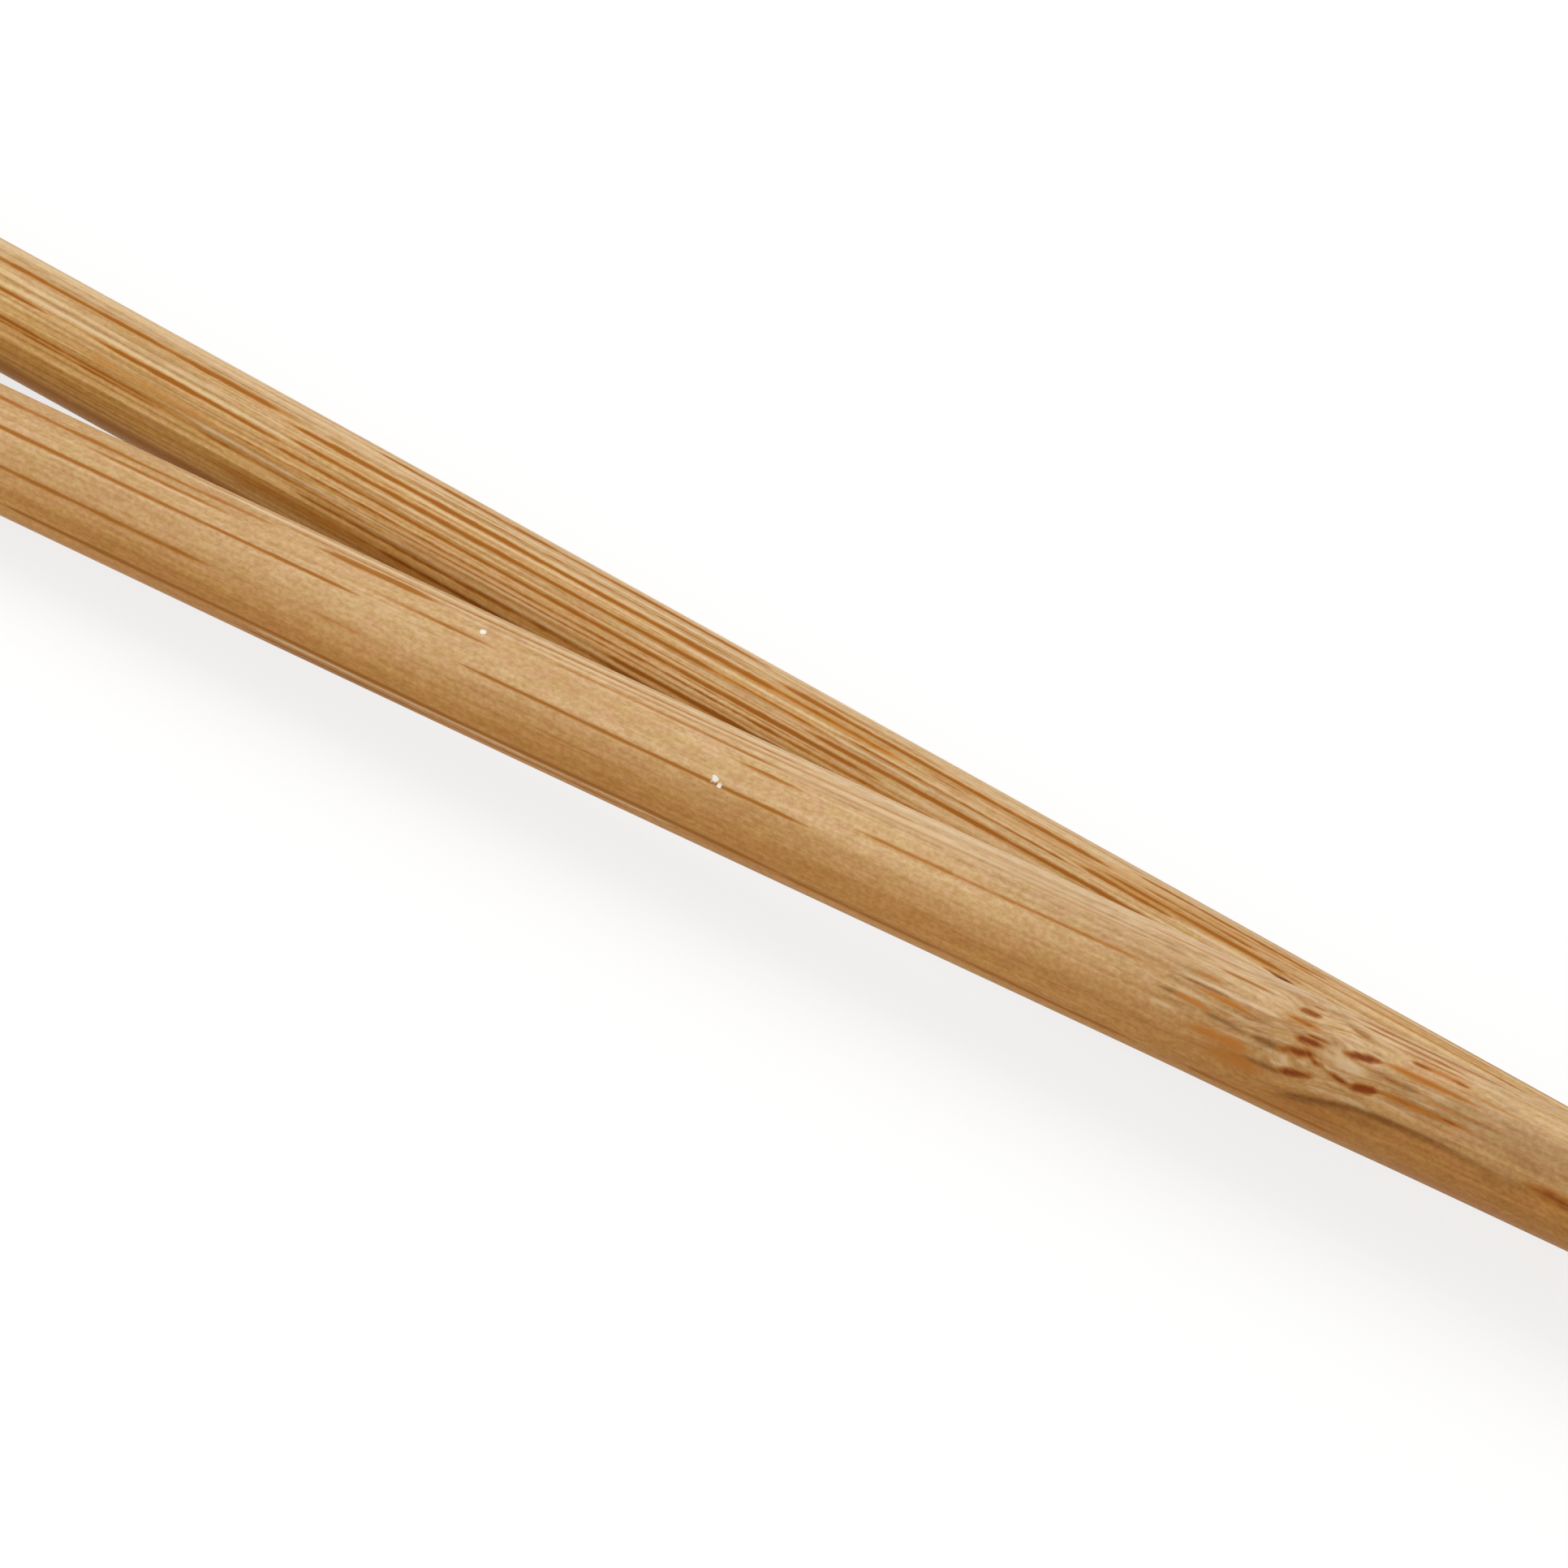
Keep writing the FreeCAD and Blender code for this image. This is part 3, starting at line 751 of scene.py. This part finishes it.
def build_stick(name, mount, look):
    """One stick: its rings, its relief and bow, and what its surface shows at every point."""
    rings = profile(look["node"])
    along = np.append(np.repeat(rings[:, 0], AROUND), [0.0, STICK_LENGTH])
    radius = np.append(np.repeat(rings[:, 1], AROUND), [0.0, 0.0])
    angle = np.append(np.tile(ring_angles(look["face"]), len(rings)), [0.0, 0.0])
    flat_end = (along < ON_END) | (along > STICK_LENGTH - ON_END)

    fields = surface_fields(along, angle, radius, flat_end, look)
    height = relief(along, angle, fields, look)
    raised = np.where(flat_end, 0.0, height * smooth_step(radius, *RELIEF_RADII))
    swing = look["bow"] * np.sin(math.pi * np.minimum(along, BOW_END) / BOW_END) ** 2
    sideways = (radius + raised) * np.sin(angle) + swing
    upward = (radius + raised) * np.cos(angle)

    butt, direction, side, up = stick_frame(mount)
    points = np.outer(along, direction) + np.outer(sideways, side) + np.outer(upward, up)
    points = points * MM + np.array(butt)

    mesh = bpy.data.meshes.new(name)
    mesh.from_pydata(points.tolist(), [], ring_faces(len(rings)))
    mesh.polygons.foreach_set("use_smooth", np.ones(len(mesh.polygons), bool))
    fields["end_grain"] = np.maximum(smooth_step(-along, *BUTT_END_GRAIN),
                                     smooth_step(along, *TIP_END_GRAIN))
    add_attributes(mesh, fields, grain_points(along, angle, radius, look))
    add_bake_map(mesh, rings)
    mesh.validate()
    mesh.update()
    piece = bpy.data.objects.new(name, mesh)
    bpy.context.scene.collection.objects.link(piece)
    return piece


def add_attributes(mesh, fields, grain):
    """What the material reads at each point."""
    for name, values in fields.items():
        layer = mesh.attributes.new(name, "FLOAT", "POINT")
        layer.data.foreach_set("value", values.astype(np.float32))
    layer = mesh.attributes.new("grain", "FLOAT_VECTOR", "POINT")
    layer.data.foreach_set("vector", grain.astype(np.float32).ravel())


def ring_map(quads, rings):
    """Places of the rings' corners on the bake map, in mm: the lengths of the stick as strips side
    by side, and the flat of each end as a disc."""
    ring, place = quads // AROUND, quads % AROUND
    wraps = (place.max(axis=1) == AROUND - 1) & (place.min(axis=1) == 0)
    place = np.where(wraps[:, None] & (place == 0), AROUND, place)
    along, radius = rings[ring, 0], rings[ring, 1]
    strip = np.clip((along.mean(axis=1) // BAKE_LENGTH), 0, BAKE_STRIPS - 1)[:, None]
    u = along - BAKE_LENGTH * strip + BAKE_MARGIN
    v = strip * (BAKE_STRIP_WIDTH + BAKE_GAP) + BAKE_GAP + BAKE_STRIP_WIDTH * place / AROUND
    on_butt = (along.max(axis=1) < ON_END)[:, None]
    on_tip = (along.min(axis=1) > STICK_LENGTH - ON_END)[:, None]
    turn = place * 2.0 * math.pi / AROUND
    disc_u, disc_v = radius * np.cos(turn) + DISCS_U, radius * np.sin(turn)
    u = np.where(on_butt | on_tip, disc_u, u)
    v = np.where(on_butt, disc_v + BUTT_DISC_V, np.where(on_tip, disc_v + TIP_DISC_V, v))
    return np.stack([u, v], axis=-1).reshape(-1, 2)


def fan_map(middle, radius, reverse):
    """Places of the corners of the fan in the middle of an end on the bake map, in mm."""
    places = []
    for first in range(AROUND):
        ends = (first + 1, first) if reverse else (first, first + 1)
        places.append((DISCS_U, middle))
        for end in ends:
            turn = 2.0 * math.pi * end / AROUND
            places.append((DISCS_U + radius * math.cos(turn), middle + radius * math.sin(turn)))
    return np.array(places)


def add_bake_map(mesh, rings):
    """A flat layout of the surface, for baking."""
    layer = mesh.uv_layers.new(name="OFBake")
    corners = np.zeros(len(mesh.loops), np.int32)
    mesh.loops.foreach_get("vertex_index", corners)
    quads = corners[:4 * AROUND * (len(rings) - 1)].reshape(-1, 4)
    butt = fan_map(BUTT_DISC_V, rings[0, 1], True)
    tip = fan_map(TIP_DISC_V, rings[-1, 1], False)
    uv = np.concatenate([ring_map(quads, rings), butt, tip]) / BAKE_SIZE
    layer.data.foreach_set("uv", uv.astype(np.float32).ravel())


# ---- materials

class Nodes:
    """Adds nodes to a material or world and joins them."""

    def __init__(self, tree):
        self.tree = tree
        tree.nodes.clear()

    def feed(self, socket, value):
        if isinstance(value, bpy.types.NodeSocket):
            self.tree.links.new(value, socket)
        else:
            socket.default_value = value

    def add(self, kind, inputs=None, **settings):
        node = self.tree.nodes.new(kind)
        for name, value in settings.items():
            setattr(node, name, value)
        for key, value in (inputs or {}).items():
            self.feed(node.inputs[key], value)
        return node

    def attribute(self, name, output="Fac"):
        return self.add("ShaderNodeAttribute", attribute_name=name).outputs[output]

    def math(self, operation, first, second=0.0, clamp=False):
        return self.add("ShaderNodeMath", {0: first, 1: second}, operation=operation,
                        use_clamp=clamp).outputs[0]

    def vector(self, operation, first, second, output="Vector"):
        return self.add("ShaderNodeVectorMath", {0: first, 1: second},
                        operation=operation).outputs[output]

    def noise(self, vector, detail, roughness, distortion):
        inputs = {"Vector": vector, "Scale": 1.0, "Detail": detail, "Roughness": roughness,
                  "Distortion": distortion}
        return self.add("ShaderNodeTexNoise", inputs).outputs["Fac"]

    def remap(self, value, low, high, to_low=0.0, to_high=1.0):
        inputs = {"Value": value, "From Min": low, "From Max": high,
                  "To Min": to_low, "To Max": to_high}
        return self.add("ShaderNodeMapRange", inputs, clamp=True,
                        interpolation_type="SMOOTHSTEP").outputs["Result"]

    def mix(self, factor, first, second, blend="MIX"):
        node = self.add("ShaderNodeMix", data_type="RGBA", blend_type=blend, clamp_factor=True)
        self.feed(node.inputs[MIX_FACTOR], factor)
        self.feed(node.inputs[MIX_FIRST], first)
        self.feed(node.inputs[MIX_SECOND], second)
        return node.outputs[MIX_RESULT]


def speck_points(look):
    """Middle, in the grain's coordinates, and radius of each light speck, in mm."""
    points = []
    for place, side, size in look["specks"]:
        turn = math.asin(side / HANDLE_RADIUS)
        angle = look["face"] + turn
        along = place + SLANT * HANDLE_RADIUS * math.cos(turn) + look["grain_offset"]
        middle = (along, HANDLE_RADIUS * math.sin(angle), HANDLE_RADIUS * math.cos(angle))
        points.append((middle, size))
    return points


def grain_noises(nodes, grain):
    """The noises that the wood is drawn with, by name."""
    noises = {}
    for name, (lengthwise, across, *settings) in GRAIN_NOISES.items():
        stretched = nodes.vector("MULTIPLY", grain, (lengthwise, across, across))
        noises[name] = nodes.noise(stretched, *settings)
    return noises


def plain_wood(nodes, noises, look):
    """Colour of the wood without its marks: the wood and its painted side shading, the flank, the
    grain and the tints.
    """
    colours = look["colours"]
    colour = nodes.mix(nodes.attribute("painted_side_shading"), colours["wood"], colours["painted_side_shading"])
    colour = nodes.mix(nodes.attribute("flank"), colour, colours["flank"])
    for name, amount in look["grain"].items():
        grained = nodes.mix(nodes.remap(noises[name], *GRAIN_SPAN), DARKER, PALER)
        colour = nodes.mix(amount, colour, grained, "MULTIPLY")
    tint = nodes.mix(nodes.remap(noises["tint"], *TINT_SPAN), OLIVE, ROSY)
    return nodes.mix(1.0, colour, tint, "MULTIPLY")


def with_pale_highlight_and_shade(nodes, colour, noises, ragged, colours):
    """The wood with its pale streaks and painted rim highlight, the swirls of its grain and the
    olive shade.
    """
    swirl, swirls = nodes.attribute("swirl"), noises["swirls"]
    pale_swirl = nodes.math("MULTIPLY", nodes.remap(swirls, *PALE_SWIRL), swirl)
    pale = nodes.math("MAXIMUM", nodes.attribute("pale"), pale_swirl)
    pale = nodes.remap(nodes.math("ADD", pale, ragged), *PALE_EDGE)
    colour = nodes.mix(pale, colour, colours["pale"])
    dark_swirl = nodes.math("MULTIPLY", nodes.remap(swirls, *DARK_SWIRL), swirl)
    colour = nodes.mix(dark_swirl, colour, colours["fibre"])
    shade = nodes.mix(nodes.attribute("shade"), WHITE, SHADE)
    return nodes.mix(1.0, colour, shade, "MULTIPLY")


def with_fibres(nodes, colour, ragged, colours):
    """The wood with its amber stain, which on the lower stick's rim in the groove is painted shade,
    its fibres and flecks, and how far each point is fibre. A fibre's seam is amber, and a fleck's
    seam has the colour of a fibre."""
    amber = nodes.math("ADD", nodes.attribute("amber"), ragged)
    colour = nodes.mix(nodes.remap(amber, *AMBER_EDGE), colour, colours["amber"])
    fibre = nodes.math("ADD", nodes.attribute("fibre"), ragged)
    colour = nodes.mix(nodes.remap(fibre, *FIBRE_SEAM), colour, colours["amber"])
    fibre = nodes.remap(fibre, *FIBRE_EDGE)
    colour = nodes.mix(fibre, colour, colours["fibre"])
    fleck = nodes.math("ADD", nodes.attribute("fleck"), ragged)
    colour = nodes.mix(nodes.remap(fleck, *FLECK_SEAM), colour, colours["fibre"])
    return nodes.mix(nodes.remap(fleck, *FLECK_EDGE), colour, colours["fleck"]), fibre


def with_specks(nodes, colour, grain, grit, look):
    """The wood with its light specks, each with an uneven edge."""
    for middle, size in speck_points(look):
        far = nodes.vector("DISTANCE", grain, middle, "Value")
        uneven = SPECK_EDGE * size
        far = nodes.math("ADD", far, nodes.remap(grit, *GRAIN_SPAN, -uneven, uneven))
        colour = nodes.mix(nodes.remap(far, 1.05 * size, 0.75 * size), colour, SPECK_COLOUR)
    return colour


def wood_roughness(nodes, hairs, fibre, end_grain):
    rough = nodes.remap(hairs, *GRAIN_SPAN, *ROUGHNESS)
    rough = nodes.math("ADD", rough, nodes.math("MULTIPLY", fibre, FIBRE_ROUGHNESS))
    return nodes.math("ADD", rough, nodes.math("MULTIPLY", end_grain, END_ROUGHNESS), clamp=True)


def wood_bump(nodes, noises, fibre, look):
    """Fine relief: the hairs, the flames and the grit stand out and the fibres lie lower."""
    flames, grits = look["grain"]["flame"], look["grain"]["grit"]
    height = nodes.math("MULTIPLY", noises["hairs"], 0.5)
    height = nodes.math("ADD", height, nodes.math("MULTIPLY", noises["flame"], 0.5 * flames))
    height = nodes.math("ADD", height, nodes.math("MULTIPLY", noises["grit"], 0.7 * grits))
    height = nodes.math("SUBTRACT", height, nodes.math("MULTIPLY", fibre, 0.35))
    bump = nodes.add("ShaderNodeBump", {"Height": height, "Strength": BUMP_STRENGTH,
                                        "Distance": BUMP_HEIGHT})
    return bump.outputs[0]


def bamboo(name, look):
    """Sanded bamboo: fine streaks along the grain, and the marks that the mesh carries."""
    material = bpy.data.materials.new(name)
    material.use_nodes = True
    nodes = Nodes(material.node_tree)
    grain = nodes.attribute("grain", "Vector")
    noises = grain_noises(nodes, grain)
    ragged = nodes.math("ADD", noises["hairs"], noises["flame"])
    ragged = nodes.remap(ragged, *RAGGED_SPAN)

    colours = look["colours"]
    colour = plain_wood(nodes, noises, look)
    colour = with_pale_highlight_and_shade(nodes, colour, noises, ragged, colours)
    colour, fibre = with_fibres(nodes, colour, ragged, colours)
    colour = with_specks(nodes, colour, grain, noises["grit"], look)
    end_grain = nodes.attribute("end_grain")
    colour = nodes.mix(nodes.math("MULTIPLY", end_grain, 0.5), colour, colours["end"])

    surface = nodes.add("ShaderNodeBsdfPrincipled", {
        "Base Color": colour,
        "Roughness": wood_roughness(nodes, noises["hairs"], fibre, end_grain),
        "Normal": wood_bump(nodes, noises, fibre, look),
        "IOR": WOOD_IOR, "Specular IOR Level": WOOD_GLOSS,
    })
    nodes.add("ShaderNodeOutputMaterial", {"Surface": surface.outputs[0]})
    return material


def seen_directly(nodes):
    """1 for what the camera sees, also by gloss or through glass, and 0 for light on things."""
    path = nodes.add("ShaderNodeLightPath")
    seen = nodes.math("MAXIMUM", path.outputs["Is Camera Ray"], path.outputs["Is Glossy Ray"])
    return nodes.math("MAXIMUM", seen, path.outputs["Is Transmission Ray"])


def floor_material():
    """Pale matt floor. The camera, gloss and glass see it whitened, and it keeps the shadow."""
    material = bpy.data.materials.new("floor")
    material.use_nodes = True
    nodes = Nodes(material.node_tree)
    direct = seen_directly(nodes)
    colour = nodes.mix(direct, FLOOR_COLOUR, WHITE)
    matt = nodes.add("ShaderNodeBsdfDiffuse", {"Color": colour}).outputs[0]
    white = nodes.add("ShaderNodeEmission", {"Color": WHITE, "Strength": 1.0}).outputs[0]
    seen = nodes.math("MULTIPLY", direct, FLOOR_WHITENING)
    surface = nodes.add("ShaderNodeMixShader", {0: seen, 1: matt, 2: white})
    nodes.add("ShaderNodeOutputMaterial", {"Surface": surface.outputs[0]})
    return material


# ---- surroundings

def bearing(azimuth, elevation):
    """Unit vector towards what is seen from the middle at these angles, in degrees."""
    turn, rise = math.radians(azimuth), math.radians(elevation)
    level = math.cos(rise)
    return Vector((math.sin(turn) * level, -math.cos(turn) * level, math.sin(rise)))


def make_world():
    world = bpy.data.worlds.new("studio")
    world.use_nodes = True
    nodes = Nodes(world.node_tree)
    level = nodes.math("MULTIPLY_ADD", seen_directly(nodes), 1.0 - SKY_LEVEL)
    level.node.inputs[2].default_value = SKY_LEVEL
    sky = nodes.add("ShaderNodeBackground", {"Color": WHITE, "Strength": level})
    nodes.add("ShaderNodeOutputWorld", {"Surface": sky.outputs[0]})
    bpy.context.scene.world = world


def make_floor():
    half = FLOOR_SIZE / 2.0
    mesh = bpy.data.meshes.new("floor")
    corners = [(-half, -half, 0.0), (half, -half, 0.0), (half, half, 0.0), (-half, half, 0.0)]
    mesh.from_pydata(corners, [], [(0, 1, 2, 3)])
    floor = bpy.data.objects.new("floor", mesh)
    bpy.context.scene.collection.objects.link(floor)
    floor.data.materials.append(floor_material())


def make_lamp(name, azimuth, elevation, power):
    """A large soft square lamp that faces the middle of the object."""
    toward = bearing(azimuth, elevation)
    light = bpy.data.lights.new(name, "AREA")
    light.shape = "SQUARE"
    light.size = LAMP_SIZE
    light.energy = power
    lamp = bpy.data.objects.new(name, light)
    lamp.location = toward * LAMP_DISTANCE
    lamp.rotation_euler = toward.to_track_quat("Z", "Y").to_euler()
    bpy.context.scene.collection.objects.link(lamp)


def make_camera():
    toward = bearing(AZIMUTH, ELEVATION)
    camera_data = bpy.data.cameras.new("camera")
    camera_data.sensor_width = SENSOR_WIDTH
    camera_data.lens = SENSOR_WIDTH * PIXELS_PER_MM * DISTANCE / IMAGE_WIDTH
    camera_data.clip_start, camera_data.clip_end = CLIPPING
    camera = bpy.data.objects.new("camera", camera_data)
    camera.location = (TARGET + toward * DISTANCE) * MM
    camera.rotation_euler = toward.to_track_quat("Z", "Y").to_euler()
    bpy.context.scene.collection.objects.link(camera)
    bpy.context.scene.camera = camera


# ---- the pair

def make_pair():
    mounts = {mount["name"]: mount for mount in frame["record"]["mounts"]}
    upper_stick = build_stick("upper_stick", mounts["upper_butt_face"], UPPER_LOOK)
    upper_stick.data.materials.append(bamboo("bamboo_upper", UPPER_LOOK))
    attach(upper_stick, "root")
    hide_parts("upper_chopstick")

    lower_stick = build_stick("lower_stick", mounts["lower_butt_face"], LOWER_LOOK)
    lower_stick.data.materials.append(bamboo("bamboo_lower", LOWER_LOOK))
    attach(lower_stick, "root")
    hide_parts("lower_chopstick")


def main():
    bpy.context.scene.view_settings.view_transform = "Standard"
    make_camera()
    make_world()
    make_floor()
    for name, azimuth, elevation, power in LAMPS:
        make_lamp(name, azimuth, elevation, power)
    make_pair()


main()
